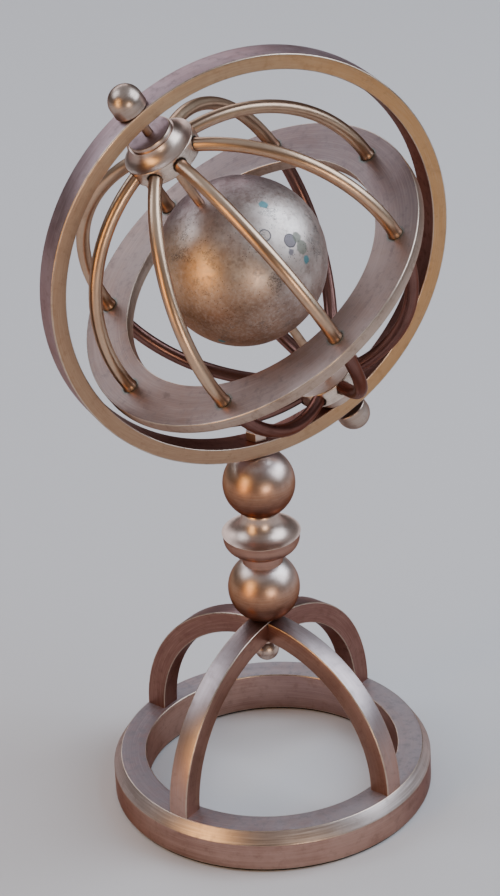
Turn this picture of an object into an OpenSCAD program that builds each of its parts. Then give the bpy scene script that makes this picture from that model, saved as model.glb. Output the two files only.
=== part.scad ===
// Armillary sphere ornament on a four-legged arch stand, in brass and bronze.
// Millimetres. +Z is up, the origin is under the middle of the base, on the stem's axis.
// The meridian ring stands in the XZ plane. Its polar axis leans towards -X at the top.

/* [Base] */
// Outer diameter of the base ring
base_d = 120; // [112:1:130]
// Diameter of the base ring's hole
base_hole_d = 95; // [86:1:96]
// Height of the metal base ring
base_h = 15.2; // [12:0.1:20]
// Width of the chamfer on the base ring's top outer edge
chamfer_w = 2.9; // [1:0.1:2.9]
// Height of the chamfer on the base ring's top outer edge
chamfer_h = 4.5; // [1:0.5:8]
// Thickness of the felt pad under the base
pad_t = 1; // [0.5:0.1:2]

/* [Arches] */
// Side of the square bar that the arches are bent from
bar = 8; // [6:0.25:8]
// Radius of the bar's centreline in each arch
arch_r = 52.9; // [51.8:0.1:52.9]
// Turn of the arches about the stem, from the meridian ring's plane
arch_yaw = 26; // [0:1:90]
// Diameter of the screws that hold the arch feet
foot_screw_d = 3; // [2:0.5:3.5]

/* [Stem] */
// Diameter of the two stem balls
ball_d = 26.6; // [22:0.2:28]
// Diameter of the collar between the balls
collar_d = 28.2; // [24:0.2:32]
// Height of the collar, from ball to ball
collar_h = 18.4; // [17:0.1:24]
// Diameter of the rod that ties the stem together
tie_d = 4; // [3:0.1:4.5]
// Diameter of the ball nut under the crossing
cap_nut_d = 9; // [8:0.5:12]

/* [Meridian ring] */
// Outer diameter of the meridian ring
meridian_d = 154; // [150:1:165]
// Radial thickness of the meridian ring
meridian_t = 5.7; // [4:0.1:6]
// Width of the meridian ring, along Y
meridian_w = 10.2; // [8:0.2:14]
// Lean of the polar axis from upright
axis_tilt = 30; // [20:1:36]
// Distance of the polar axis from the meridian ring's middle
axis_off = 2; // [0:0.1:2]

/* [Cage] */
// Outer diameter of the equator ring
equator_d = 133.5; // [128:0.5:134]
// Radial width of the equator ring
equator_w = 17; // [12:0.5:20]
// Thickness of the equator ring
equator_t = 4.4; // [4:0.1:6]
// Distance of the equator ring below the cage's middle
equator_drop = 4; // [0:0.5:4]
// Angle by which the equator ring sits out of square with the polar axis
equator_tilt = 4.4; // [0:0.2:4.4]
// Place of the equator ring's highest point, from the first rib
equator_high = 51; // [0:1:180]
// Diameter of the rib rods
rib_d = 4.8; // [3:0.1:5]
// Distance from the cage's middle to the outer face of each hub
hub_reach = 68; // [66:0.1:68]
// Diameter of the hubs' rib band
hub_d = 26.4; // [24:0.2:28]
// Diameter of the hubs' outer boss
hub_boss_d = 16.2; // [12:0.2:17]
// Distance the cage has slid down the polar axle
cage_slip = 2.2; // [0:0.1:2.2]
// Turn of the cage about the polar axis
cage_turn = 2; // [0:1:45]

/* [Globe and axle] */
// Diameter of the globe
globe_d = 60; // [50:1:62]
// Distance of the globe's centre above the middle of the axle
globe_rise = 1; // [0:0.5:3]
// Diameter of the polar axle
axle_d = 3.2; // [2.5:0.1:4]
// Diameter of the polar knobs
knob_d = 12.2; // [10:0.1:15]
// Length of the straight part of each knob
knob_h = 3.8; // [2:0.1:6]

/* [View] */
// Sub-part to draw, or all

/* [Hidden] */
$fn = 96;
ribs = 8;
running = 0.05;
slack = 0.02;
base_r = base_d / 2;
hole_r = base_hole_d / 2;
base_top = pad_t + base_h;
arch_mid = base_top + arch_r;
arch_top = arch_mid + bar / 2;
ball_r = ball_d / 2;
ball_flat = 0.5;
ball_low = arch_top + ball_r - ball_flat;
collar_z = ball_low + ball_r - ball_flat;
ball_high = collar_z + collar_h + ball_r - ball_flat;
ring_r = meridian_d / 2;
ring_in = ring_r - meridian_t;
ring_low = ball_high + ball_r - ball_flat;
ring_z = ring_low + ring_r;
cap_r = cap_nut_d / 2;
cap_z = arch_mid - bar / 2 - 1.38 * cap_r;
equator_r = equator_d / 2;
equator_in = equator_r - equator_w;
rib_foot_r = equator_r - equator_w / 2;
hub_r = hub_d / 2;
boss_r = hub_boss_d / 2;
boss_h = 1.6;
cove_h = 4.8;
band_h = 6.2;
cove_r = 6;
hub_h = boss_h + cove_h + band_h;
rib_start_r = hub_r - 5;
rib_sink = 2;
rib_r = hub_reach - hub_h + band_h / 2 + 1.1;
rib_mid_r = rib_foot_r - sqrt(rib_r * rib_r - equator_drop * equator_drop);
rib_lead = asin((rib_start_r - rib_mid_r) / rib_r);
knob_gap = 0.9;
axle_slip = 0.5;
knob_r = knob_d / 2;
knob_base = ring_r + knob_gap;
thread_depth = 4;
globe_r = globe_d / 2;

brass = [0.72, 0.55, 0.36];
bronze = [0.58, 0.42, 0.30];
steel = [0.45, 0.44, 0.43];

// ---- shared helpers ----

// Places children drawn about the origin on the polar axis, at the meridian ring's centre.
module polar(shift = 0)
{
    translate([0, 0, ring_z])
        rotate([0, -axis_tilt, 0])
            translate([-axis_off, 0, shift])
                children();
}

// The cage's own frame: its middle is slid down the axle and turned about it.
module cage()
{
    polar(-cage_slip)
        rotate([0, 0, cage_turn])
            children();
}

// Flat ring with a rectangular section, standing on z = low.
module flat_ring(outer, inner, low, height)
{
    translate([0, 0, low])
        difference()
        {
            cylinder(h = height, r = outer);
            translate([0, 0, -1])
                cylinder(h = height + 2, r = inner);
        }
}

// ---- base ----

module base_pad()
{
    color([0.08, 0.07, 0.07])
        flat_ring(base_r - 1, hole_r + 1, 0, pad_t);
}

module foot_places()
{
    for (i = [0 : 3])
        rotate([0, 0, arch_yaw + 90 * i])
            translate([arch_r, 0, 0])
                children();
}

module base_section()
{
    polygon([[hole_r, pad_t], [base_r, pad_t], [base_r, base_top - chamfer_h],
             [base_r - chamfer_w, base_top], [hole_r, base_top]]);
}

module base_ring()
{
    color(bronze)
        difference()
        {
            rotate_extrude()
                base_section();
            foot_places()
            {
                translate([0, 0, 0])
                    cylinder(h = base_top + 1, r = foot_screw_d / 2);
                translate([0, 0, -1])
                    cylinder(h = pad_t + 1 + 3.4, r = foot_screw_d);
            }
        }
}

// Four cheese-head screws, driven up through the base ring into the arch feet.
module foot_screws()
{
    color(steel)
        foot_places()
            difference()
            {
                union()
                {
                    translate([0, 0, pad_t + 1])
                        cylinder(h = 2.4, r = foot_screw_d - 0.2);
                    translate([0, 0, pad_t + 1.2])
                        cylinder(h = base_h + 5, r = foot_screw_d / 2 - slack);
                }
                translate([-foot_screw_d, -0.4, pad_t + 0.5])
                    cube([2 * foot_screw_d, 0.8, 1.4]);
            }
}

// Half hoop of square bar over the base, without its crossing notch.
module arch_bar()
{
    difference()
    {
        translate([0, 0, base_top])
            rotate([90, 0, 0])
                rotate_extrude(angle = 180)
                    translate([arch_r - bar / 2, -bar / 2])
                        square(bar);
        for (side = [-1, 1])
            translate([side * arch_r, 0, base_top - 1])
                cylinder(h = 8, r = foot_screw_d / 2);
        translate([0, 0, arch_mid - bar])
            cylinder(h = 2 * bar, r = tie_d / 2 + running);
    }
}

module arch_through()
{
    color(bronze)
        rotate([0, 0, arch_yaw])
            difference()
            {
                arch_bar();
                translate([-bar / 2 - slack, -bar, arch_mid - bar])
                    cube([bar + 2 * slack, 2 * bar, bar]);
            }
}

module arch_lapped()
{
    color(bronze)
        rotate([0, 0, arch_yaw + 90])
            difference()
            {
                arch_bar();
                translate([-bar / 2 - slack, -bar, arch_mid])
                    cube([bar + 2 * slack, 2 * bar, bar]);
            }
}

// ---- stem ----

module cap_nut()
{
    color(brass)
        difference()
        {
            union()
            {
                translate([0, 0, cap_z])
                    sphere(r = cap_r);
                translate([0, 0, cap_z])
                    cylinder(h = arch_mid - bar / 2 - cap_z, r = 0.62 * cap_r);
            }
            translate([0, 0, cap_z - 1])
                cylinder(h = bar, r = tie_d / 2 + slack);
            translate([-bar, -bar, arch_mid - bar / 2 - 0.1])
                cube([2 * bar, 2 * bar, bar]);
        }
}

module tie_rod()
{
    color(steel)
        translate([0, 0, cap_z - 0.6])
            cylinder(h = ring_low + meridian_t + 4.6 - cap_z, r = tie_d / 2);
}

// Turned ball with a small flat at each end and a bore for the tie rod.
module stem_ball(z)
{
    color(brass)
        difference()
        {
            intersection()
            {
                translate([0, 0, z])
                    sphere(r = ball_r);
                translate([0, 0, z - ball_r + ball_flat])
                    cylinder(h = 2 * (ball_r - ball_flat), r = ball_r + 1);
            }
            translate([0, 0, z - ball_r - 1])
                cylinder(h = ball_d + 2, r = tie_d / 2 + running);
        }
}

module lower_ball()
{
    stem_ball(ball_low);
}

module upper_ball()
{
    stem_ball(ball_high);
}

// Section of the collar: a trumpet-shaped upper face comes down to a sharp rim over a
// saucer with a rounded lower corner, on a stouter foot. Both ends are dished to seat a ball.
module collar_section()
{
    rim_r = collar_d / 2;
    rim_z = 0.59 * collar_h;
    neck_r = 0.5 * rim_r;
    flare_w = rim_r - neck_r;
    flare_h = collar_h - rim_z;
    flare_r = (flare_w * flare_w + flare_h * flare_h) / (2 * flare_w);
    saucer_h = 7.6;
    corner_r = 5.5;
    foot_r = neck_r + 0.4;
    difference()
    {
        union()
        {
            square([neck_r, collar_h + 2]);
            translate([0, rim_z])
                difference()
                {
                    square([rim_r, flare_h]);
                    translate([neck_r + flare_r, flare_h])
                        circle(r = flare_r);
                }
            translate([0, rim_z - saucer_h + corner_r])
                square([rim_r, saucer_h - corner_r]);
            translate([0, rim_z - saucer_h])
                square([rim_r - corner_r, saucer_h]);
            translate([rim_r - corner_r, rim_z - saucer_h + corner_r])
                circle(r = corner_r);
            translate([0, -2.6])
                square([foot_r, rim_z - saucer_h + 3.1]);
        }
        translate([0, ball_flat - ball_r])
            circle(r = ball_r + slack);
        translate([0, collar_h + ball_r - ball_flat])
            circle(r = ball_r + slack);
        translate([-1, -3])
            square([tie_d / 2 + running + 1, collar_h + 6]);
        translate([-rim_r - 1, -rim_r])
            square([rim_r + 1, 4 * rim_r]);
    }
}

module collar()
{
    color(brass)
        translate([0, 0, collar_z])
            rotate_extrude()
                collar_section();
}

// ---- meridian ring ----

module meridian_ring()
{
    color(brass)
        difference()
        {
            translate([0, 0, ring_z])
                rotate([90, 0, 0])
                    flat_ring(ring_r, ring_in, -meridian_w / 2, meridian_w);
            polar()
                for (side = [0, 1])
                    rotate([180 * side, 0, 0])
                        translate([0, 0, ring_in - 5])
                            cylinder(h = meridian_t + 10, r = axle_d / 2 + running);
            translate([0, 0, ring_low - 1])
                cylinder(h = meridian_t + 4, r = tie_d / 2 + running);
        }
}

// Hexagon nut inside the meridian ring, over the stem.
module ring_nut()
{
    color(brass)
        translate([0, 0, ring_low + meridian_t + 0.15])
            difference()
            {
                cylinder(h = 3.2, r = 4.2, $fn = 6);
                translate([0, 0, -1])
                    cylinder(h = 6, r = tie_d / 2 + slack);
            }
}

// ---- axle, globe and knobs ----

module polar_axle()
{
    color(brass)
        polar(-axle_slip)
            translate([0, 0, -knob_base - thread_depth])
                cylinder(h = 2 * (knob_base + thread_depth), r = axle_d / 2);
}

module globe()
{
    color(brass)
        polar(globe_rise)
            difference()
            {
                sphere(r = globe_r);
                cylinder(h = globe_d + 2, r = axle_d / 2 + slack, center = true);
            }
}

// Bullet-shaped knob screwed onto the end of the axle.
module knob(side)
{
    color(brass)
        polar(-axle_slip)
            rotate([side > 0 ? 0 : 180, 0, 0])
                translate([0, 0, knob_base])
                    difference()
                    {
                        union()
                        {
                            cylinder(h = knob_h, r = knob_r);
                            translate([0, 0, knob_h])
                                intersection()
                                {
                                    sphere(r = knob_r);
                                    cylinder(h = knob_r, r = knob_r + 1);
                                }
                        }
                        translate([0, 0, -1])
                            cylinder(h = thread_depth + 1.1, r = axle_d / 2 + slack);
                    }
}

module north_knob()
{
    knob(1);
}

module south_knob()
{
    knob(-1);
}

// ---- cage ----

// Place of one rib round the cage, counted the way +Z turns.
module rib_place(index)
{
    rotate([0, 0, 360 / ribs * (index - 1)])
        children();
}

// Section of a hub: boss, hollow cove and rib band, measured down from the outer face.
module hub_section()
{
    step_r = boss_r + 0.6;
    cove_w = hub_r - step_r;
    chord = sqrt(cove_w * cove_w + cove_h * cove_h) / 2;
    reach = sqrt(cove_r * cove_r - chord * chord);
    cove_x = (hub_r + step_r) / 2 + reach * cove_h / (2 * chord);
    cove_z = hub_reach - boss_h - cove_h / 2 + reach * cove_w / (2 * chord);
    difference()
    {
        union()
        {
            translate([0, hub_reach - boss_h - 1])
                square([boss_r, boss_h + 1]);
            translate([0, hub_reach - hub_h])
                difference()
                {
                    square([hub_r, cove_h + band_h]);
                    translate([cove_x, cove_z - hub_reach + hub_h])
                        circle(r = cove_r);
                }
        }
        translate([-1, hub_reach - hub_h - 1])
            square([axle_d / 2 + running + 1, hub_h + 2]);
    }
}

module hub(side)
{
    color(brass)
        cage()
            mirror([0, 0, side > 0 ? 0 : 1])
                difference()
                {
                    rotate_extrude()
                        hub_section();
                    for (i = [1 : ribs])
                        rib_place(i)
                            rib_rod(rib_stop(side, i), rib_d / 2 + slack);
                }
}

module north_hub()
{
    hub(1);
}

module south_hub()
{
    hub(-1);
}

// Height of the equator ring's middle plane where a rib meets it, from the cage's middle.
function plane_z(index) = rib_foot_r * tan(equator_tilt) * cos(360 / ribs * (index - 1) - equator_high)
                          - equator_drop;

// Angle from the pole at which a rib stops, inside its hole in the equator ring.
function rib_stop(side, index) = acos((equator_t / 2 - rib_sink + side * plane_z(index)) / rib_r);

// Curved rod from a hole in the hub's band down to an angle from the pole.
module rib_rod(stop, radius)
{
    translate([rib_mid_r, 0, 0])
        rotate([90, 0, 0])
            rotate([0, 0, 90 - stop])
                rotate_extrude(angle = stop - rib_lead)
                    translate([rib_r, 0])
                        circle(r = radius);
}

module rib(side, index)
{
    color(brass)
        cage()
            mirror([0, 0, side > 0 ? 0 : 1])
                rib_place(index)
                    rib_rod(rib_stop(side, index), rib_d / 2);
}

module equator_ring()
{
    color(bronze)
        cage()
            difference()
            {
                translate([0, 0, -equator_drop])
                    rotate([0, 0, equator_high])
                        rotate([0, -equator_tilt, 0])
                            flat_ring(equator_r, equator_in, -equator_t / 2, equator_t);
                for (side = [-1, 1])
                    for (i = [1 : ribs])
                        mirror([0, 0, side > 0 ? 0 : 1])
                            rib_place(i)
                                rib_rod(rib_stop(side, i), rib_d / 2 + slack);
            }
}

module north_rib_1() { rib(1, 1); }
module north_rib_2() { rib(1, 2); }
module north_rib_3() { rib(1, 3); }
module north_rib_4() { rib(1, 4); }
module north_rib_5() { rib(1, 5); }
module north_rib_6() { rib(1, 6); }
module north_rib_7() { rib(1, 7); }
module north_rib_8() { rib(1, 8); }
module south_rib_1() { rib(-1, 1); }
module south_rib_2() { rib(-1, 2); }
module south_rib_3() { rib(-1, 3); }
module south_rib_4() { rib(-1, 4); }
module south_rib_5() { rib(-1, 5); }
module south_rib_6() { rib(-1, 6); }
module south_rib_7() { rib(-1, 7); }
module south_rib_8() { rib(-1, 8); }

// ---- drawing ----

base_pad();
base_ring();
foot_screws();
arch_through();
arch_lapped();
cap_nut();
tie_rod();
lower_ball();
collar();
upper_ball();
ring_nut();
meridian_ring();
polar_axle();
globe();
north_knob();
south_knob();
north_hub();
south_hub();
equator_ring();
north_rib_1();
north_rib_2();
north_rib_3();
north_rib_4();
north_rib_5();
north_rib_6();
north_rib_7();
north_rib_8();
south_rib_1();
south_rib_2();
south_rib_3();
south_rib_4();
south_rib_5();
south_rib_6();
south_rib_7();
south_rib_8();
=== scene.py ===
import math

import bmesh
import bpy
from mathutils import Matrix, Vector


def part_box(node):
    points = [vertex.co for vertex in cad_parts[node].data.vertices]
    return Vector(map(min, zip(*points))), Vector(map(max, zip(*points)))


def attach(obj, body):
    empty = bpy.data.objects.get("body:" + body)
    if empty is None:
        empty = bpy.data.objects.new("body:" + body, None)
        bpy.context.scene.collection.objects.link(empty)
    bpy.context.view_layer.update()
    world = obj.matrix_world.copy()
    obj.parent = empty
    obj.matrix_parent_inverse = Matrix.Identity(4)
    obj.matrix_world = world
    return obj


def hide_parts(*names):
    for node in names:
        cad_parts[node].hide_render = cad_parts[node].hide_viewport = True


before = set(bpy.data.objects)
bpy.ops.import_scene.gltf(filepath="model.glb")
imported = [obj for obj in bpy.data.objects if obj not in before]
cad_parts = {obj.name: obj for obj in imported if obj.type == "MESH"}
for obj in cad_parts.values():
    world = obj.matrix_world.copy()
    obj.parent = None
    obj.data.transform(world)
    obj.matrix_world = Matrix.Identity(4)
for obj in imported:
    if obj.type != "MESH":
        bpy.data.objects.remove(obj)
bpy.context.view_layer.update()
MM = 0.001

# ---- places and sizes, in millimetres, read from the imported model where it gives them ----


def low_high(node):
    low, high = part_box(node)
    return low / MM, high / MM


BASE_LOW, BASE_HIGH = low_high("base_ring")
BASE_R = 60.0
BASE_HOLE_R = 47.5
BASE_TOP = BASE_HIGH.z
CHAMFER_W, CHAMFER_H = 2.9, 4.5
BAR = 8.0
ARCH_R = 52.9
ARCH_YAW = math.radians(26)
RING_LOW, RING_HIGH = low_high("meridian_ring")
RING_Z = (RING_LOW.z + RING_HIGH.z) / 2
RING_R = (RING_HIGH.x - RING_LOW.x) / 2
RING_T = 5.7
RING_W = RING_HIGH.y - RING_LOW.y
BALL_R = 13.3
COLLAR_R = 14.1
COLLAR_H = 18.4
TILT = math.radians(30)
AXIS_OFF = 2.0
CAGE_SLIP = 2.2
CAGE_TURN = math.radians(2)
RIBS = 8
RIB_R = 2.4
RIB_BEND = 59.6
RIB_FOOT = 58.25
EQ_DROP, EQ_TILT, EQ_HIGH = 4.0, math.radians(4.4), math.radians(51)
EQ_R, EQ_W, EQ_T = 66.75, 17.0, 4.4
RIB_MID = RIB_FOOT - math.sqrt(RIB_BEND ** 2 - EQ_DROP ** 2)
RIB_SINK = 2.0
HUB_R, BOSS_R, HUB_REACH = 13.2, 8.1, 68.0
BOSS_H, COVE_H, BAND_H, COVE_R = 1.6, 4.8, 6.2, 6.0
GLOBE_R, GLOBE_RISE = 30.0, 1.0
AXLE_SLIP = 0.5
KNOB_R, KNOB_H, KNOB_GAP = 6.1, 3.8, 0.9
AXLE_R, GLOBE_BORE_R, HUB_BORE_R, STEM_BORE_R = 1.6, 1.62, 1.7, 2.2
HUB_STEP = 0.6
ROUND = 0.5
RIB_ENTRY = 5
FOOT_SWELL, FOOT_SWELL_W = 0.13, 0.9

# Every rounded or turned piece keeps this material slot for its worn edges.
WORN = 1


def polar(shift=0.0):
    """Frame on the polar axis, its origin level with the meridian ring's middle."""
    return (Matrix.Translation((0, 0, RING_Z)) @ Matrix.Rotation(-TILT, 4, "Y")
            @ Matrix.Translation((-AXIS_OFF, 0, shift)))


def cage():
    return polar(-CAGE_SLIP) @ Matrix.Rotation(CAGE_TURN, 4, "Z")


FLIP = Matrix.Rotation(math.pi, 4, "X")

# ---- mesh building ----


def arc(cx, cz, r, a0, a1, n):
    """Points of a circular arc in the section plane, angles in degrees."""
    return [(cx + r * math.cos(math.radians(a0 + (a1 - a0) * i / n)),
             cz + r * math.sin(math.radians(a0 + (a1 - a0) * i / n))) for i in range(n + 1)]


def rounded(corners, steps=4):
    """Section from (x, z, fillet, slot) corners: points, and the slot of the side after each."""
    pts, slots = [], []
    n = len(corners)
    for i, (x, z, fillet, slot) in enumerate(corners):
        here = Vector((x, z))
        if not fillet:
            pts.append((x, z))
            slots.append(slot)
            continue
        before = (Vector(corners[i - 1][:2]) - here).normalized()
        after = (Vector(corners[(i + 1) % n][:2]) - here).normalized()
        half = before.angle(after) / 2
        reach = fillet / math.tan(half)
        centre = here + (before + after).normalized() * fillet / math.sin(half)
        start = here + before * reach - centre
        end = here + after * reach - centre
        turn = start.angle_signed(end)
        for k in range(steps + 1):
            a = -turn * k / steps
            v = Vector((start.x * math.cos(a) - start.y * math.sin(a),
                        start.x * math.sin(a) + start.y * math.cos(a)))
            pts.append((centre.x + v.x, centre.y + v.y))
            slots.append(slot if k == steps else WORN)
    return pts, slots


def finish_mesh(name, bm, materials, place, sharp=34):
    bmesh.ops.remove_doubles(bm, verts=bm.verts, dist=1e-4)
    bmesh.ops.recalc_face_normals(bm, faces=bm.faces)
    bmesh.ops.scale(bm, vec=(MM, MM, MM), verts=bm.verts)
    mesh = bpy.data.meshes.new(name)
    bm.to_mesh(mesh)
    bm.free()
    mesh.shade_smooth()
    mesh.set_sharp_from_angle(angle=math.radians(sharp))
    for m in materials:
        mesh.materials.append(m)
    obj = bpy.data.objects.new(name, mesh)
    bpy.context.scene.collection.objects.link(obj)
    place = place.copy()
    place.translation = place.translation * MM
    obj.matrix_world = place
    return obj


def revolve(name, pts, slots, materials, place, steps=224, start=0.0, turn=2 * math.pi,
            closed=True, swell=None, smooth_angle=34):
    """Turned piece: a section of (radius, z) points swept about the local Z axis."""
    bm = bmesh.new()
    whole = abs(turn - 2 * math.pi) < 1e-6
    count = steps if whole else steps + 1
    cx = sum(p[0] for p in pts) / len(pts)
    cz = sum(p[1] for p in pts) / len(pts)
    rings = []
    for i in range(count):
        a = start + turn * i / steps
        s = swell(i / steps) if swell else 1.0
        ring = []
        for (x, z) in pts:
            r, h = cx + (x - cx) * s, cz + (z - cz) * s
            ring.append(bm.verts.new((r * math.cos(a), r * math.sin(a), h)))
        rings.append(ring)
    m = len(pts)
    spans = range(m if closed else m - 1)
    for i in range(count if whole else count - 1):
        a, b = rings[i], rings[(i + 1) % count]
        for k in spans:
            k2 = (k + 1) % m
            face = bm.faces.new((a[k], b[k], b[k2], a[k2]))
            face.material_index = slots[k] if k < len(slots) else 0
    if not whole and closed:
        for end in (rings[0], rings[-1]):
            bm.faces.new(end)
    return finish_mesh(name, bm, materials, place, smooth_angle)


# ---- materials ----

# Noise scales, per millimetre.
CLOUD, BLOTCH, SPECK = 0.055, 0.32, 1.9
# How far brushing lines bow round the turning axis, and how fast they change along it.
LINE_BOW, LINE_DRIFT = 0.012, 0.02
# How ragged a zone's border is, as a share of the zone's width.
ZONE_RAG = 0.35
# Colour of what the metal reflects at a grazing angle.
EDGE_TINT = (0.50, 0.36, 0.33)
DUST_GREY = (0.30, 0.285, 0.305)
PIT_BLACK = (0.025, 0.02, 0.018)
FLUX_GREEN = (0.10, 0.17, 0.15)
# Dark ring round each rib hole: painted gap shade and grime.
GAP_SHADE_AND_GRIME = (0.035, 0.024, 0.02)
DOT_BROWN = (0.05, 0.04, 0.04)
CRUST_GREY = (0.08, 0.075, 0.075)


class Nodes:
    """Short-hand for building one material's node tree."""

    def __init__(self, name):
        self.mat = bpy.data.materials.new(name)
        self.mat.use_nodes = True
        self.tree = self.mat.node_tree
        self.bsdf = self.tree.nodes["Principled BSDF"]

    def add(self, kind, **props):
        node = self.tree.nodes.new(kind)
        for key, value in props.items():
            setattr(node, key, value)
        return node

    def put(self, socket, value):
        if isinstance(value, bpy.types.NodeSocket):
            self.tree.links.new(value, socket)
        elif value is not None:
            socket.default_value = value

    def math(self, op, a, b=None, c=None):
        node = self.add("ShaderNodeMath", operation=op)
        for i, v in enumerate((a, b, c)):
            self.put(node.inputs[i], v)
        return node.outputs[0]

    def vmath(self, op, a, b=None, scale=None):
        node = self.add("ShaderNodeVectorMath", operation=op)
        self.put(node.inputs[0], a)
        if b is not None:
            self.put(node.inputs[1], b)
        if scale is not None:
            self.put(node.inputs["Scale"], scale)
        gives_number = op in ("DISTANCE", "LENGTH", "DOT_PRODUCT")
        return node.outputs["Value"] if gives_number else node.outputs[0]

    def combine(self, x, y, z):
        node = self.add("ShaderNodeCombineXYZ")
        for i, v in enumerate((x, y, z)):
            self.put(node.inputs[i], v)
        return node.outputs[0]

    def split(self, vector):
        node = self.add("ShaderNodeSeparateXYZ")
        self.put(node.inputs[0], vector)
        return node.outputs[0], node.outputs[1], node.outputs[2]

    def noise(self, vector, scale, detail=3.0, rough=0.55):
        node = self.add("ShaderNodeTexNoise")
        self.put(node.inputs["Vector"], vector)
        node.inputs["Scale"].default_value = scale
        node.inputs["Detail"].default_value = detail
        node.inputs["Roughness"].default_value = rough
        return node.outputs["Fac"]

    def cells(self, vector, scale, feature="F1"):
        node = self.add("ShaderNodeTexVoronoi", feature=feature)
        self.put(node.inputs["Vector"], vector)
        node.inputs["Scale"].default_value = scale
        return node.outputs["Distance"]

    def band(self, value, low, high, to_low=0.0, to_high=1.0):
        node = self.add("ShaderNodeMapRange", interpolation_type="SMOOTHSTEP")
        self.put(node.inputs["Value"], value)
        ends = {"From Min": low, "From Max": high, "To Min": to_low, "To Max": to_high}
        for key, v in ends.items():
            node.inputs[key].default_value = v
        return node.outputs["Result"]

    def mix(self, fac, a, b):
        node = self.add("ShaderNodeMix", data_type="RGBA", blend_type="MIX")
        self.put(node.inputs[0], fac)
        self.put(node.inputs[6], (*a, 1) if isinstance(a, tuple) else a)
        self.put(node.inputs[7], (*b, 1) if isinstance(b, tuple) else b)
        return node.outputs[2]

    def coords(self):
        """Place on the piece in millimetres, in its own turning frame."""
        tex = self.add("ShaderNodeTexCoord")
        return self.vmath("SCALE", tex.outputs["Object"], scale=1000.0)

    def turned(self, here):
        """Coordinates that run slowly round the turning axis and fast across it."""
        x, y, z = self.split(here)
        square = self.math("ADD", self.math("MULTIPLY", x, x), self.math("MULTIPLY", y, y))
        radius = self.math("SQRT", square)
        u = self.math("ADD", radius, self.math("MULTIPLY", x, LINE_BOW))
        v = self.math("ADD", z, self.math("MULTIPLY", y, LINE_BOW))
        w = self.math("MULTIPLY", self.math("SUBTRACT", x, y), LINE_DRIFT)
        return self.combine(u, v, w), radius

    def bump(self, height, strength, distance, normal=None):
        node = self.add("ShaderNodeBump")
        node.inputs["Strength"].default_value = strength
        node.inputs["Distance"].default_value = distance * MM
        self.put(node.inputs["Height"], height)
        if normal is not None:
            self.put(node.inputs["Normal"], normal)
        return node.outputs["Normal"]


def metal(name, light, mid, dark, rough=0.32, spread=0.08, line_scale=3.2, line_bump=0.12,
          stain=0.3, dust=0.0, pits=0.35, grain=0.3, mottle=0.55, turned=True, zones=(),
          halo=None, spots=None, extra_scratch=0.2):
    """Aged turned metal with brushing lines, tarnish, pits and dust.

    A zone is (direction, start, end, colour, amount): colour that grows along a direction, tarnish
    on some pieces, and on others painted highlight, painted reflection and painted shade, its start
    and end in millimetres from the piece's middle. halo is the last three values for the rib holes'
    painted gap shade and grime.
    """
    n = Nodes(name)
    here = n.coords()
    lines_at, radius = n.turned(here)
    if not turned:
        lines_at = here
    fine = n.noise(lines_at, line_scale, 2.0, 0.7)
    coarse = n.noise(lines_at, line_scale * 0.22, 3.0, 0.6)
    cloud = n.noise(here, CLOUD, 4.0, 0.6)
    blotch = n.noise(here, BLOTCH, 4.0, 0.65)
    speck = n.noise(here, SPECK, 3.0, 0.7)
    tone = n.math("ADD", n.math("MULTIPLY", cloud, 0.6), n.math("MULTIPLY", coarse, 0.4))
    colour = n.mix(n.band(tone, 0.60, 0.36, 0.0, mottle), mid, dark)
    for way, low, high, tint, amount in zones:
        along = n.vmath("DOT_PRODUCT", here, way)
        uneven = n.math("MULTIPLY", blotch, ZONE_RAG * (high - low))
        reach = n.math("ADD", along, uneven)
        colour = n.mix(n.band(reach, low, high, 0.0, amount), colour, tint)
    colour = n.mix(n.math("MULTIPLY", n.band(fine, 0.38, 0.75), grain), colour, light)
    tarnish = n.math("MULTIPLY", n.band(blotch, 0.50, 0.72), stain)
    tarnished = tuple(0.45 * v for v in dark)
    colour = n.mix(tarnish, colour, tarnished)
    roughness = n.math("ADD", n.band(fine, 0.3, 0.75, rough - spread / 2, rough + spread / 2),
                       n.math("MULTIPLY", tarnish, 0.28))
    metallic = 1.0
    if dust:
        film = n.math("MULTIPLY", n.band(n.math("ADD", n.math("MULTIPLY", blotch, 0.5),
                                                n.math("MULTIPLY", cloud, 0.5)), 0.36, 0.6), dust)
        colour = n.mix(film, colour, DUST_GREY)
        roughness = n.math("ADD", roughness, n.math("MULTIPLY", film, 0.35))
        metallic = n.math("SUBTRACT", 1.0, n.math("MULTIPLY", film, 0.45))
    pit_size = n.cells(here, 0.55)
    pit_gate = n.band(speck, 0.52, 0.66)
    pit = n.math("MULTIPLY", n.math("MULTIPLY", n.band(pit_size, 0.16, 0.07), pit_gate), pits)
    colour = n.mix(pit, colour, PIT_BLACK)
    scratch_at = n.vmath("MULTIPLY", here, (0.9, 0.16, 0.9))
    scratch = n.band(n.cells(scratch_at, 0.9, "DISTANCE_TO_EDGE"), 0.012, 0.0)
    scratch = n.math("MULTIPLY", scratch, n.band(blotch, 0.52, 0.66))
    scratch = n.math("MULTIPLY", scratch, extra_scratch)
    colour = n.mix(scratch, colour, light)
    if halo:
        colour, roughness = rib_grime_and_shade(n, here, radius, colour, roughness, *halo)
    if spots:
        colour, roughness = globe_marks(n, here, speck, colour, roughness)
    n.put(n.bsdf.inputs["Base Color"], colour)
    n.put(n.bsdf.inputs["Roughness"], roughness)
    n.put(n.bsdf.inputs["Metallic"], metallic)
    n.bsdf.inputs["Specular Tint"].default_value = (*EDGE_TINT, 1)
    height = n.math("ADD", n.math("MULTIPLY", fine, 0.5), n.math("MULTIPLY", coarse, 0.5))
    normal = n.bump(height, line_bump, 0.06)
    normal = n.bump(n.math("SUBTRACT", n.math("MULTIPLY", blotch, 0.3), pit), 0.35, 0.12, normal)
    n.put(n.bsdf.inputs["Normal"], normal)
    return n.mat


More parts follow.
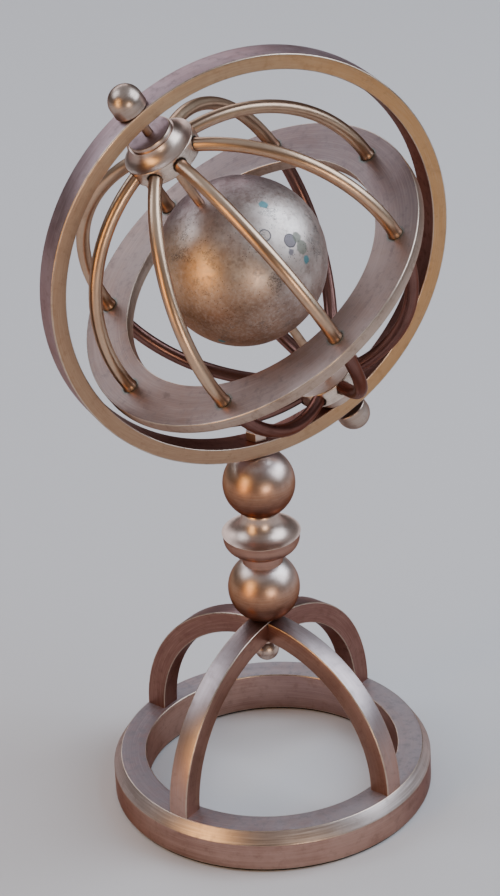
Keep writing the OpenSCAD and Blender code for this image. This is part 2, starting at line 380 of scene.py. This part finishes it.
def rib_grime_and_shade(n, here, radius, colour, roughness, hole_r, hole_z, flat):
    """Dark ring round each rib's hole, painted shade of the gap round the rod together with grime,
    and a green edge, in a flat face or a hub's side.
    """
    x, y, z = n.split(here)
    step = 2 * math.pi / RIBS
    angle = n.math("WRAP", n.math("ARCTAN2", y, x), step / 2, -step / 2)
    across = n.math("MULTIPLY", n.math("SINE", angle), radius)
    if flat:
        outward = n.math("MULTIPLY", n.math("COSINE", angle), radius)
        along = n.math("SUBTRACT", outward, hole_r)
    else:
        along = n.math("SUBTRACT", z, hole_z)
    square = n.math("ADD", n.math("MULTIPLY", across, across), n.math("MULTIPLY", along, along))
    gap = n.math("SQRT", square)
    ragged = n.math("ADD", gap, n.math("MULTIPLY", n.noise(here, 0.9, 3.0), 1.1))
    green = n.math("MULTIPLY", n.band(ragged, RIB_R + 2.2, RIB_R + 0.9), 0.55 if flat else 0.15)
    colour = n.mix(green, colour, FLUX_GREEN)
    # Dark ring close round the rod: painted shade of the gap, with grime.
    gap_shade_and_dirt = n.band(ragged, RIB_R + 1.15, RIB_R + 0.6)
    colour = n.mix(gap_shade_and_dirt, colour, GAP_SHADE_AND_GRIME)
    roughness = n.math("ADD", roughness, n.math("MULTIPLY", gap_shade_and_dirt, 0.3))
    return colour, roughness


# Marks on the globe: longitude and latitude in degrees, radius in millimetres, colour, and the
# colour of a ring round it.
TEAL = (0.05, 0.26, 0.30)
PALE = (0.60, 0.52, 0.47)
INK = (0.035, 0.033, 0.05)
SLATE = (0.15, 0.14, 0.17)
OLIVE = (0.20, 0.21, 0.17)
GLOBE_MARKS = (
    (-42, 46, 1.7, TEAL, None), (-61, 2, 1.5, TEAL, None), (-70, 36, 2.0, PALE, INK),
    (-60, 20, 2.3, SLATE, INK), (-57, 10, 2.6, OLIVE, None), (-54, 17, 1.9, OLIVE, None),
    (-61, 70, 0.8, TEAL, None), (-75, 31, 0.7, SLATE, INK), (-66, 15, 1.2, SLATE, None),
    (60, 30, 1.6, TEAL, None), (110, -12, 2.4, SLATE, INK), (165, 22, 1.9, OLIVE, None),
    (100, 35, 1.3, TEAL, None), (20, -30, 2.0, OLIVE, None), (-150, -20, 1.4, TEAL, None),
)


def globe_marks(n, here, speck, colour, roughness):
    """The large marks in their places, and small dots and crust scattered by noise."""
    wobble = n.math("MULTIPLY", n.math("SUBTRACT", n.noise(here, 0.8, 3.0), 0.5), 1.3)
    for lon, lat, size, fill, rim in GLOBE_MARKS:
        a, b = math.radians(lon), math.radians(lat)
        centre = (GLOBE_R * math.cos(b) * math.cos(a), GLOBE_R * math.cos(b) * math.sin(a),
                  GLOBE_R * math.sin(b))
        ragged = 0.3 if rim else 1.0
        far = n.math("ADD", n.vmath("DISTANCE", here, centre), n.math("MULTIPLY", wobble, ragged))
        mask = n.math("MULTIPLY", n.band(far, size + 0.25, size - 0.45), 0.8)
        colour = n.mix(mask, colour, fill)
        roughness = n.math("ADD", roughness, n.math("MULTIPLY", mask, 0.15))
        if rim:
            ring = n.band(n.math("ABSOLUTE", n.math("SUBTRACT", far, size)), 0.34, 0.12)
            colour = n.mix(n.math("MULTIPLY", ring, 0.8), colour, rim)
    dots = n.band(n.cells(here, 0.95), 0.24, 0.1)
    gate = n.band(n.noise(here, 0.14, 3.0), 0.42, 0.58)
    dotted = n.math("MULTIPLY", n.math("MULTIPLY", dots, gate), 0.75)
    colour = n.mix(dotted, colour, DOT_BROWN)
    crusted = n.band(n.noise(here, 0.11, 4.0), 0.58, 0.66)
    crust = n.math("MULTIPLY", crusted, n.band(speck, 0.42, 0.6))
    colour = n.mix(n.math("MULTIPLY", crust, 0.6), colour, CRUST_GREY)
    return colour, roughness


def felt():
    n = Nodes("black_felt")
    here = n.coords()
    fibre = n.noise(here, 2.6, 6.0, 0.8)
    n.put(n.bsdf.inputs["Base Color"], n.mix(fibre, (0.008, 0.007, 0.008), (0.035, 0.03, 0.034)))
    n.bsdf.inputs["Roughness"].default_value = 0.95
    n.put(n.bsdf.inputs["Normal"], n.bump(fibre, 0.8, 0.3))
    return n.mat


def steel():
    return metal("steel", (0.50, 0.49, 0.47), (0.36, 0.34, 0.32), (0.18, 0.15, 0.13), rough=0.35,
                 stain=0.4, pits=0.2)


# Palettes shared by several metals, then single colours for zones: painted highlight, reflection
# and shade on the balls, painted reflections on the ring faces.
GOLD = dict(light=(0.62, 0.45, 0.30), mid=(0.48, 0.32, 0.195), dark=(0.31, 0.19, 0.115))
COPPER = dict(light=(0.52, 0.34, 0.27), mid=(0.375, 0.215, 0.165), dark=(0.24, 0.12, 0.09))
MAUVE = dict(light=(0.51, 0.44, 0.43), mid=(0.385, 0.305, 0.30), dark=(0.25, 0.18, 0.17))
# Dark brown palette: painted shade for the inner faces and the lower ribs.
BROWN = dict(light=(0.30, 0.17, 0.14), mid=(0.19, 0.095, 0.08), dark=(0.10, 0.05, 0.042))
EDGE = dict(light=(0.88, 0.78, 0.70), mid=(0.76, 0.63, 0.54), dark=(0.54, 0.41, 0.33))
SATIN = dict(light=(0.69, 0.54, 0.41), mid=(0.59, 0.415, 0.29), dark=(0.39, 0.235, 0.155))
PEARL = dict(light=(0.69, 0.58, 0.52), mid=(0.59, 0.46, 0.39), dark=(0.38, 0.26, 0.21))
# Ball zone colours: a painted silver highlight, a painted red reflection and painted shade.
SILVER_HIGHLIGHT = (0.62, 0.54, 0.52)
RED_REFLECTION = (0.43, 0.205, 0.11)
UNDERSIDE_SHADE = (0.15, 0.06, 0.045)
# Meridian ring face zone colours: painted reflections, tan to the lower left and amber to the
# right.
TAN_REFLECTION = (0.34, 0.205, 0.135)
AMBER_REFLECTION = (0.52, 0.27, 0.11)
# Zone of darker colour on each arch's back leg, the one its own +X points along.
BACK_LEGS = ((1, 0, 0), -8, 14, (0.20, 0.095, 0.085), 0.75)

FELT = felt()
STEEL = steel()
EDGE_MAT = metal("worn_edge", light=(0.74, 0.62, 0.53), mid=(0.60, 0.47, 0.38),
                 dark=(0.38, 0.27, 0.20), rough=0.30, stain=0.35, pits=0.1, mottle=0.9)
BRASS_TURNED = metal("brass_turned", **PEARL, rough=0.35, spread=0.06, line_scale=4.6,
                     line_bump=0.07, stain=0.15, grain=0.2, mottle=0.4)
BALL = metal("brass_ball", **SATIN, rough=0.35, spread=0.06, line_scale=4.6, line_bump=0.06,
             stain=0.15, grain=0.15, mottle=0.4,
             # Zones: painted silver highlight toward the upper right, painted red reflection and
             # painted shade toward the bottom.
             zones=[((0.5, -0.3, 0.8), -1, 11, SILVER_HIGHLIGHT, 0.85),
                    ((0, 0, -1), -10, 2, RED_REFLECTION, 0.85),
                    ((0, 0, -1), -3, 8, UNDERSIDE_SHADE, 0.9)])
KNOB = metal("brass_knob", light=(0.60, 0.50, 0.44), mid=(0.47, 0.37, 0.31),
             dark=(0.27, 0.18, 0.14), rough=0.33, spread=0.06, line_scale=4.6, line_bump=0.07,
             stain=0.25, mottle=0.5)
# The collar's underside: a darker copper copy of its brass, painted shade.
SAUCER = metal("collar_under", **COPPER, rough=0.34, line_scale=3.0, stain=0.2)
BRASS_FACE = metal("brass_ring_face", **GOLD, rough=0.36, line_scale=4.2, line_bump=0.12,
                   stain=0.22,
                   # Zones: painted reflections, tan toward the lower left and amber toward the
                   # right.
                   zones=[((-0.85, -0.5, 0), 0, 62, TAN_REFLECTION, 0.75), ((1, 0.1, 0), 5, 70, AMBER_REFLECTION, 0.8)])
RIM = metal("ring_rim", light=(0.52, 0.41, 0.42), mid=(0.40, 0.29, 0.30), dark=(0.26, 0.175, 0.175),
            rough=0.40, line_scale=3.0, stain=0.3, dust=0.15)
# Inner faces of the rings and arches: painted shade.
INNER_SHADE = metal("ring_inner_shade", **BROWN, rough=0.42, line_scale=2.4, stain=0.4)
RIB = metal("rib_rod", **SATIN, rough=0.33, spread=0.06, line_scale=1.6, line_bump=0.03, stain=0.15,
            pits=0.15, grain=0.15, mottle=0.55)
# The lower ribs' metal: a darker copy of the ribs' brass, painted shade.
RIB_SHADE = metal("rib_rod_shade", **BROWN, rough=0.30, spread=0.06, line_scale=1.6,
                line_bump=0.03, stain=0.2, pits=0.15, grain=0.3, mottle=0.5)
DUSTY = metal("dusty_bronze", **MAUVE, rough=0.46, line_scale=2.0, stain=0.3, dust=0.5,
              zones=[((-1, 0.2, 0), 10, 58, (0.20, 0.13, 0.13), 0.7)])
SIDE = metal("bronze_side", light=(0.62, 0.44, 0.38), mid=(0.47, 0.295, 0.24),
             dark=(0.29, 0.155, 0.12), rough=0.34, spread=0.12, line_scale=2.2, line_bump=0.16,
             stain=0.25, mottle=0.7,
             zones=[((1, 0.2, 0), 5, 55, (0.30, 0.20, 0.20), 0.6)])
CHAMFER = metal("bronze_chamfer", light=(0.80, 0.70, 0.66), mid=(0.62, 0.51, 0.47),
                dark=(0.40, 0.30, 0.26), rough=0.36, line_scale=2.0, line_bump=0.2, stain=0.25,
                grain=0.5)
ARCH_OUT = metal("arch_outer", **MAUVE, rough=0.34, line_scale=3.2, stain=0.22, dust=0.1,
                 extra_scratch=0.5,
                 # Second zone: redder toward the legs' feet, a painted reflection.
                 zones=[BACK_LEGS, ((0, -1, 0), -30, -8, (0.48, 0.28, 0.22), 0.8)])
# The bars' sides: a copper copy of the arch metal, a painted reddish reflection.
ARCH_SIDE = metal("arch_side", **COPPER, rough=0.38, line_scale=2.6, stain=0.25, zones=[BACK_LEGS])
EQ_FACE = metal("equator_face", light=(0.46, 0.37, 0.33), mid=(0.32, 0.235, 0.205),
                dark=(0.20, 0.13, 0.11), rough=0.37, line_scale=2.6, line_bump=0.16, stain=0.3,
                dust=0.15, halo=(RIB_FOOT, 0, True),
                # Zones: painted shade toward the right and toward the left.
                zones=[((1, 0.3, 0), 20, 58, (0.17, 0.12, 0.12), 0.7),
                       ((-1, 0.1, 0), 25, 60, (0.24, 0.15, 0.12), 0.6)])
EQ_EDGE = metal("equator_edge", light=(0.60, 0.49, 0.42), mid=(0.47, 0.35, 0.28),
                dark=(0.30, 0.20, 0.15), rough=0.35, line_scale=3.4, stain=0.35)
HUB_BAND = metal("hub_band", **EDGE, rough=0.30, line_scale=3.6, stain=0.2,
                 halo=(HUB_R, HUB_REACH - BOSS_H - COVE_H - BAND_H / 2, False))
GLOBE = metal("globe_patina_and_painted_light", light=(0.74, 0.68, 0.65), mid=(0.63, 0.54, 0.49),
              dark=(0.42, 0.32, 0.28), rough=0.44, spread=0.14, line_scale=0.9, line_bump=0.05,
              stain=0.4, pits=0.9, grain=0.3, mottle=0.8, turned=False, spots=True,
              # Zones: a painted golden reflection toward the left, and painted shade low at the
              # front and toward the top.
              zones=[((-1, 0, -0.15), 2, 26, (0.56, 0.33, 0.16), 0.75),
                     ((-0.61, -0.44, -0.65), 8, 27, (0.26, 0.14, 0.09), 0.75),
                     ((0.35, 0.6, 0.7), 13, 28, (0.25, 0.17, 0.19), 0.7)])


# ---- stand ----


def base_ring():
    pts, slots = rounded([
        (BASE_HOLE_R, BASE_LOW.z, 0.4, 3), (BASE_R, BASE_LOW.z, 0.5, 0),
        (BASE_R, BASE_TOP - CHAMFER_H, 0.5, 2), (BASE_R - CHAMFER_W, BASE_TOP, 0.35, 3),
        (BASE_HOLE_R, BASE_TOP, 0.4, 0)])
    mats = [SIDE, EDGE_MAT, CHAMFER, DUSTY]
    piece = revolve("base_ring_turned", pts, slots, mats, Matrix.Identity(4), steps=288)
    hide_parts("base_ring")
    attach(piece, "stand")


def arches():
    # One bar's faces take different copies of one metal: the sides a painted reddish reflection,
    # the inner face painted shade.
    mats = [ARCH_SIDE, EDGE_MAT, ARCH_OUT, INNER_SHADE]
    lie = Matrix.Translation((0, 0, BASE_TOP)) @ Matrix.Rotation(math.pi / 2, 4, "X")
    inner, outer = ARCH_R - BAR / 2, ARCH_R + BAR / 2
    pts, slots = rounded([(inner, -BAR / 2, 0.3, 0), (outer, -BAR / 2, 0.4, 2),
                          (outer, BAR / 2, 0.4, 0), (inner, BAR / 2, 0.3, 3)])
    whole = revolve("arch_through_bar", pts, slots, mats,
                    Matrix.Rotation(ARCH_YAW, 4, "Z") @ lie, steps=160, turn=math.pi)
    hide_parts("arch_through")
    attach(whole, "stand")
    # The whole arch's bar passes through this one, which is built as a half on each side of it.
    clear = 0.03
    gap = math.asin((BAR / 2 + clear) / ARCH_R)
    across = Matrix.Rotation(ARCH_YAW + math.pi / 2, 4, "Z") @ lie
    for k, begin in enumerate((0.0, math.pi / 2 + gap)):
        half = revolve(f"arch_lapped_bar_{k + 1}", pts, slots, mats, across, steps=80,
                       start=begin, turn=math.pi / 2 - gap)
        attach(half, "stand")
    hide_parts("arch_lapped")


def stem_ball(name, node):
    low, high = low_high(node)
    centre = (low.z + high.z) / 2
    half = (high.z - low.z) / 2
    end = math.degrees(math.asin(half / BALL_R))
    steps = 64
    pts = [(STEM_BORE_R, -half)] + arc(0, 0, BALL_R, -end, end, steps) + [(STEM_BORE_R, half)]
    slots = [WORN] + [0] * steps + [WORN, 0]
    place = Matrix.Translation((0, 0, centre))
    piece = revolve(name, pts, slots, [BALL, EDGE_MAT], place, steps=160)
    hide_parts(node)
    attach(piece, "stand")


def collar():
    """Trumpet-shaped upper face, worn rim, saucer with a rounded lower corner, and a stout foot."""
    foot = low_high("lower_ball")[1].z
    low, high = low_high("collar")
    neck_r, foot_r = 0.5 * COLLAR_R, 0.5 * COLLAR_R + 0.4
    rim_z = 0.59 * COLLAR_H
    flare_w, flare_h = COLLAR_R - neck_r, COLLAR_H - rim_z
    flare_r = (flare_w ** 2 + flare_h ** 2) / (2 * flare_w)
    saucer_h, corner = 7.6, 5.5
    # A full turn, and 3 degrees in from the rim, where the worn edge ends.
    rim_angle = math.degrees(math.atan2(-flare_h, flare_w - flare_r)) + 363
    groups = [
        ([(STEM_BORE_R, low.z - foot), (foot_r, low.z - foot)], 2),
        ([(foot_r, rim_z - saucer_h)], 2),
        (arc(COLLAR_R - corner, rim_z - saucer_h + corner, corner, -90, 0, 14), 2),
        ([(COLLAR_R, rim_z - 0.5)], WORN),
        (arc(COLLAR_R - 0.35, rim_z - 0.3, 0.35, 10, 60, 4), WORN),
        (arc(neck_r + flare_r, COLLAR_H, flare_r, rim_angle, 180, 30), 0),
        ([(neck_r, high.z - foot - 0.3)], WORN),
        ([(neck_r - 0.2, high.z - foot), (STEM_BORE_R, high.z - foot)], 0),
    ]
    pts = [p for group, _ in groups for p in group]
    slots = [slot for group, slot in groups for _ in group]
    # The saucer's underside takes the painted-shade copper.
    piece = revolve("collar_turned", pts, slots, [BRASS_TURNED, EDGE_MAT, SAUCER],
                    Matrix.Translation((0, 0, foot)), steps=192)
    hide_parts("collar")
    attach(piece, "stand")


def meridian_ring():
    """The upright ring. Its axle holes are left out: the axle fills them, so they can't be seen."""
    inner = RING_R - RING_T
    pts, slots = rounded([(inner, -RING_W / 2, 0.35, 2), (RING_R, -RING_W / 2, 0.45, 3),
                          (RING_R, RING_W / 2, 0.45, 2), (inner, RING_W / 2, 0.35, 0)])
    place = Matrix.Translation((0, 0, RING_Z)) @ Matrix.Rotation(math.pi / 2, 4, "X")
    # The inner face takes the painted-shade metal.
    piece = revolve("meridian_ring_turned", pts, slots, [INNER_SHADE, EDGE_MAT, BRASS_FACE, RIM], place,
                    steps=320)
    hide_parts("meridian_ring")
    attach(piece, "stand")


# ---- axle, globe and knobs ----


def globe():
    end = math.degrees(math.acos(GLOBE_BORE_R / GLOBE_R))
    pts = arc(0, 0, GLOBE_R, -end, end, 120)
    piece = revolve("globe_ball", pts, [0] * len(pts), [GLOBE], polar(GLOBE_RISE))
    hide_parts("globe")
    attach(piece, "axle")


def knob(name, node, side):
    base = RING_R + KNOB_GAP
    pts = [(AXLE_R, base), (KNOB_R - ROUND, base)]
    pts += arc(KNOB_R - ROUND, base + ROUND, ROUND, -90, 0, 5)
    pts += arc(0, base + KNOB_H, KNOB_R, 0, 89.9, 36)
    place = polar(-AXLE_SLIP) @ (Matrix.Identity(4) if side > 0 else FLIP)
    piece = revolve(name, pts, [0] * len(pts), [KNOB], place, steps=112)
    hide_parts(node)
    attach(piece, "axle")


# ---- cage ----


def side_place(side, angle=0.0):
    """Frame of one rib or hub: the lower half is the upper one turned over."""
    if side > 0:
        return cage() @ Matrix.Rotation(angle, 4, "Z")
    return cage() @ FLIP @ Matrix.Rotation(-angle, 4, "Z")


def hub(name, node, side):
    """Turned hub: a band that takes the ribs, a hollow cove above it, and a small boss."""
    step = BOSS_R + HUB_STEP
    cove_top = HUB_REACH - BOSS_H
    cove_foot = cove_top - COVE_H
    bottom = cove_foot - BAND_H
    # The cove is an arc of radius COVE_R through the band's top edge and the step under the boss.
    cove_w = HUB_R - step
    chord = math.hypot(cove_w, COVE_H) / 2
    reach = math.sqrt(COVE_R ** 2 - chord ** 2)
    cx = (HUB_R + step) / 2 + reach * COVE_H / (2 * chord)
    cz = cove_top - COVE_H / 2 + reach * cove_w / (2 * chord)
    a0 = math.degrees(math.atan2(cove_foot - cz, HUB_R - cx)) % 360
    a1 = math.degrees(math.atan2(cove_top - cz, step - cx)) % 360
    pts = [(HUB_BORE_R, bottom), (HUB_R - ROUND, bottom)]
    pts += arc(HUB_R - ROUND, bottom + ROUND, ROUND, -90, 0, 4)
    slots = [0] + [WORN] * 5 + [2]
    pts += [(HUB_R, cove_foot - 0.12)]
    slots += [WORN]
    pts += arc(cx, cz, COVE_R, a0 - 1.0, a1, 20)
    slots += [0] * 21
    pts += [(BOSS_R, cove_top), (BOSS_R, HUB_REACH - 0.35), (BOSS_R - 0.1, HUB_REACH - 0.1),
            (BOSS_R - 0.35, HUB_REACH), (HUB_BORE_R, HUB_REACH)]
    slots += [0, WORN, WORN, 3, 0]
    mats = [BRASS_TURNED, EDGE_MAT, HUB_BAND, RIM]
    piece = revolve(name, pts, slots, mats, side_place(side), steps=176)
    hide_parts(node)
    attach(piece, "cage")


def rib(side, index):
    """Rod bent to an arc, from inside the hub's band to the equator ring, swollen at its foot."""
    angle = 2 * math.pi / RIBS * (index - 1)
    plane = RIB_FOOT * math.tan(EQ_TILT) * math.cos(angle - EQ_HIGH) - EQ_DROP
    stop = math.acos((EQ_T / 2 - RIB_SINK + side * plane) / RIB_BEND)
    lead = math.asin((HUB_R - RIB_ENTRY - RIB_MID) / RIB_BEND)
    begin, turn = math.pi / 2 - stop, stop - lead
    sides = 24
    pts = arc(RIB_BEND, 0, RIB_R, 0, 360, sides)[:-1]

    def swell(t):
        foot = (t * turn * RIB_BEND - RIB_SINK) / FOOT_SWELL_W
        return 1 + FOOT_SWELL * math.exp(-foot * foot) if foot > -0.3 else 1 + FOOT_SWELL

    place = (side_place(side, angle) @ Matrix.Translation((RIB_MID, 0, 0))
             @ Matrix.Rotation(math.pi / 2, 4, "X"))
    word = "north" if side > 0 else "south"
    node = f"{word}_rib_{index}"
    # The lower ribs take the painted-shade copy of the rod metal.
    piece = revolve(f"{word}_rod_{index}", pts, [0] * sides, [RIB if side > 0 else RIB_SHADE], place,
                    steps=150, start=begin, turn=turn, swell=swell)
    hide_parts(node)
    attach(piece, "cage")


def equator_ring():
    place = (cage() @ Matrix.Translation((0, 0, -EQ_DROP)) @ Matrix.Rotation(EQ_HIGH, 4, "Z")
             @ Matrix.Rotation(-EQ_TILT, 4, "Y") @ Matrix.Rotation(-EQ_HIGH, 4, "Z"))
    inner = EQ_R - EQ_W
    pts, slots = rounded([(inner, -EQ_T / 2, 0.3, 2), (EQ_R, -EQ_T / 2, 0.35, 0),
                          (EQ_R, EQ_T / 2, 0.35, 2), (inner, EQ_T / 2, 0.3, 0)])
    piece = revolve("equator_ring_turned", pts, slots, [EQ_EDGE, EDGE_MAT, EQ_FACE], place,
                    steps=288)
    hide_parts("equator_ring")
    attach(piece, "cage")


# ---- carried-over pieces ----


def soften(node, width, mats):
    """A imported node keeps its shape, with its edges slightly broken and a real material."""
    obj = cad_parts[node]
    obj.data.materials.clear()
    for m in mats:
        obj.data.materials.append(m)
    if width:
        weld = obj.modifiers.new("weld", "WELD")
        weld.merge_threshold = 1e-6
        bevel = obj.modifiers.new("bevel", "BEVEL")
        bevel.width = width * MM
        bevel.segments = 2
        bevel.limit_method = "ANGLE"
        bevel.angle_limit = math.radians(40)


def carried_over():
    soften("base_pad", 0, [FELT])
    soften("foot_screws", 0, [STEEL])
    soften("tie_rod", 0, [STEEL])
    soften("polar_axle", 0, [RIB])
    soften("cap_nut", 0, [BRASS_TURNED])
    soften("ring_nut", 0.15, [BRASS_TURNED])


# ---- floor, lights, camera ----


FLOOR_HALF = 14.0
FLOOR_COLOUR = (0.62, 0.59, 0.58, 1)


def stage_floor():
    bm = bmesh.new()
    bmesh.ops.create_grid(bm, x_segments=2, y_segments=2, size=FLOOR_HALF)
    mesh = bpy.data.meshes.new("floor")
    bm.to_mesh(mesh)
    bm.free()
    floor = bpy.data.objects.new("floor", mesh)
    bpy.context.scene.collection.objects.link(floor)
    n = Nodes("pale_floor")
    n.bsdf.inputs["Base Color"].default_value = FLOOR_COLOUR
    n.bsdf.inputs["Roughness"].default_value = 0.9
    n.bsdf.inputs["Specular IOR Level"].default_value = 0.1
    mesh.materials.append(n.mat)


AIM = Vector((0, 0, 0.16))


def softbox(name, place, size, power, colour):
    light = bpy.data.lights.new(name, "AREA")
    light.shape = "RECTANGLE"
    light.size, light.size_y = size
    light.energy = power
    light.color = colour
    obj = bpy.data.objects.new(name, light)
    bpy.context.scene.collection.objects.link(obj)
    obj.location = place
    obj.rotation_euler = (AIM - Vector(place)).to_track_quat("-Z", "Y").to_euler()


CAM_AZ = math.radians(-25.075)
CAM_EL = math.radians(28.958)
CAM_ROLL = math.radians(-2.904)
CAM_DISTANCE = 1.21328
CAM_SIDE, CAM_LIFT = 0.002314, 0.005203
CAM_TARGET = Vector((0, 0, 0.150))
CAM_LENS = 90.427
CAM_SENSOR = 24.0


def around(az, el, distance):
    """A place seen from the object at an azimuth and elevation in degrees, like the camera's."""
    a, e = math.radians(az), math.radians(el)
    way = Vector((math.sin(a) * math.cos(e), -math.cos(a) * math.cos(e), math.sin(e)))
    return way * distance + AIM


SKY = (Vector((0.0, 0.05, 1.75)), (3.4, 3.4), 14, (0.80, 0.88, 1.0))
# Name, azimuth, elevation, distance in metres, width and height, watts, colour.
SOFTBOXES = (
    ("key", 68, 40, 1.5, (1.3, 1.3), 27, (0.72, 0.85, 1.0)),
    ("left_back", -125, 42, 1.6, (0.9, 0.9), 8, (0.78, 0.87, 1.0)),
    ("warm", -74, 12, 1.4, (0.5, 0.95), 8, (1.0, 0.56, 0.20)),
    ("front", -4, 3, 1.9, (0.6, 0.42), 8, (1.0, 0.78, 0.56)),
    ("back", 176, 30, 1.8, (1.6, 0.6), 9, (0.84, 0.89, 1.0)),
)
WORLD_COLOUR, WORLD_STRENGTH = (0.60, 0.55, 0.53, 1), 0.2


def lights():
    above, size, power, colour = SKY
    softbox("sky", AIM + above, size, power, colour)
    for name, az, el, distance, size, power, colour in SOFTBOXES:
        softbox(name, around(az, el, distance), size, power, colour)
    world = bpy.data.worlds.new("studio")
    world.use_nodes = True
    back = world.node_tree.nodes["Background"]
    back.inputs["Color"].default_value = WORLD_COLOUR
    back.inputs["Strength"].default_value = WORLD_STRENGTH
    bpy.context.scene.world = world


def camera():
    back = Vector((math.sin(CAM_AZ) * math.cos(CAM_EL), -math.cos(CAM_AZ) * math.cos(CAM_EL),
                   math.sin(CAM_EL)))
    ahead = -back
    right = ahead.cross(Vector((0, 0, 1))).normalized()
    up = right.cross(ahead)
    r = right * math.cos(CAM_ROLL) + up * math.sin(CAM_ROLL)
    u = -right * math.sin(CAM_ROLL) + up * math.cos(CAM_ROLL)
    data = bpy.data.cameras.new("camera")
    data.sensor_fit = "VERTICAL"
    data.sensor_height = CAM_SENSOR
    data.lens = CAM_LENS
    data.clip_start, data.clip_end = 0.05, 50
    cam = bpy.data.objects.new("camera", data)
    bpy.context.scene.collection.objects.link(cam)
    cam.matrix_world = Matrix((
        (r.x, u.x, back.x, 0), (r.y, u.y, back.y, 0), (r.z, u.z, back.z, 0), (0, 0, 0, 1)))
    cam.location = CAM_TARGET + back * CAM_DISTANCE - r * CAM_SIDE - u * CAM_LIFT
    bpy.context.scene.camera = cam


def build():
    camera()
    base_ring()
    arches()
    stem_ball("lower_ball_turned", "lower_ball")
    stem_ball("upper_ball_turned", "upper_ball")
    collar()
    meridian_ring()
    globe()
    knob("north_knob_turned", "north_knob", 1)
    knob("south_knob_turned", "south_knob", -1)
    hub("north_hub_turned", "north_hub", 1)
    hub("south_hub_turned", "south_hub", -1)
    equator_ring()
    for side in (1, -1):
        for index in range(1, RIBS + 1):
            rib(side, index)
    carried_over()
    stage_floor()
    lights()


build()
